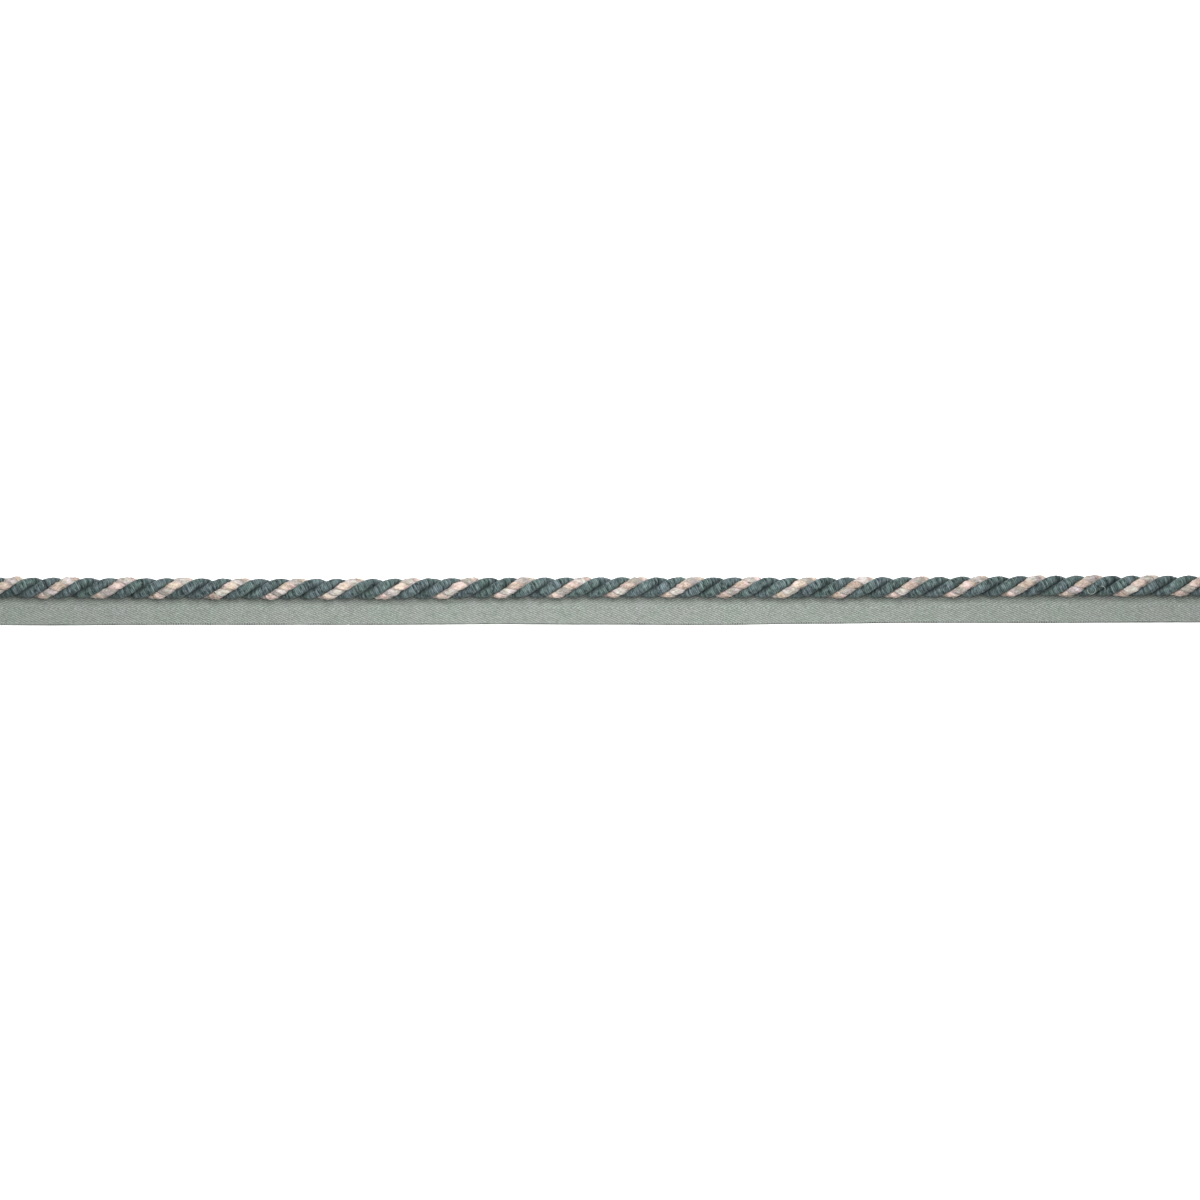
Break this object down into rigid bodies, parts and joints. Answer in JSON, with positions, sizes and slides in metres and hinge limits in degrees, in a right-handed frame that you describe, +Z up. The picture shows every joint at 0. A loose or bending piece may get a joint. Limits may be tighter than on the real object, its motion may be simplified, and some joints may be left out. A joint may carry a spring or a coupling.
{
  "type": "cord trim",
  "caption": "Straight length of twisted three-strand cord in slate and cream, sewn along one edge of a flat herringbone tape that serves as its sewing flange.",
  "frame": {"origin": "under the middle of the whole trim, on the surface that the tape lies on", "axes": "+X along the trim, +Y from the tape's free edge towards the cord, +Z up out of the tape"},
  "size_m": [0.6, 0.0228, 0.0107],
  "materials": {
    "slate_wrap": "matte slate-teal strand closely wrapped in fine thread",
    "cream_yarn": "soft fluffy cream and pale grey yarns twisted together",
    "tape": "matte grey-green herringbone twill tape"
  },
  "bodies": {
    "root": {"strand_slate_a": "slate_wrap", "strand_slate_b": "slate_wrap", "strand_cream": "cream_yarn", "flange_tape": "tape"}
  },
  "joints": []
}
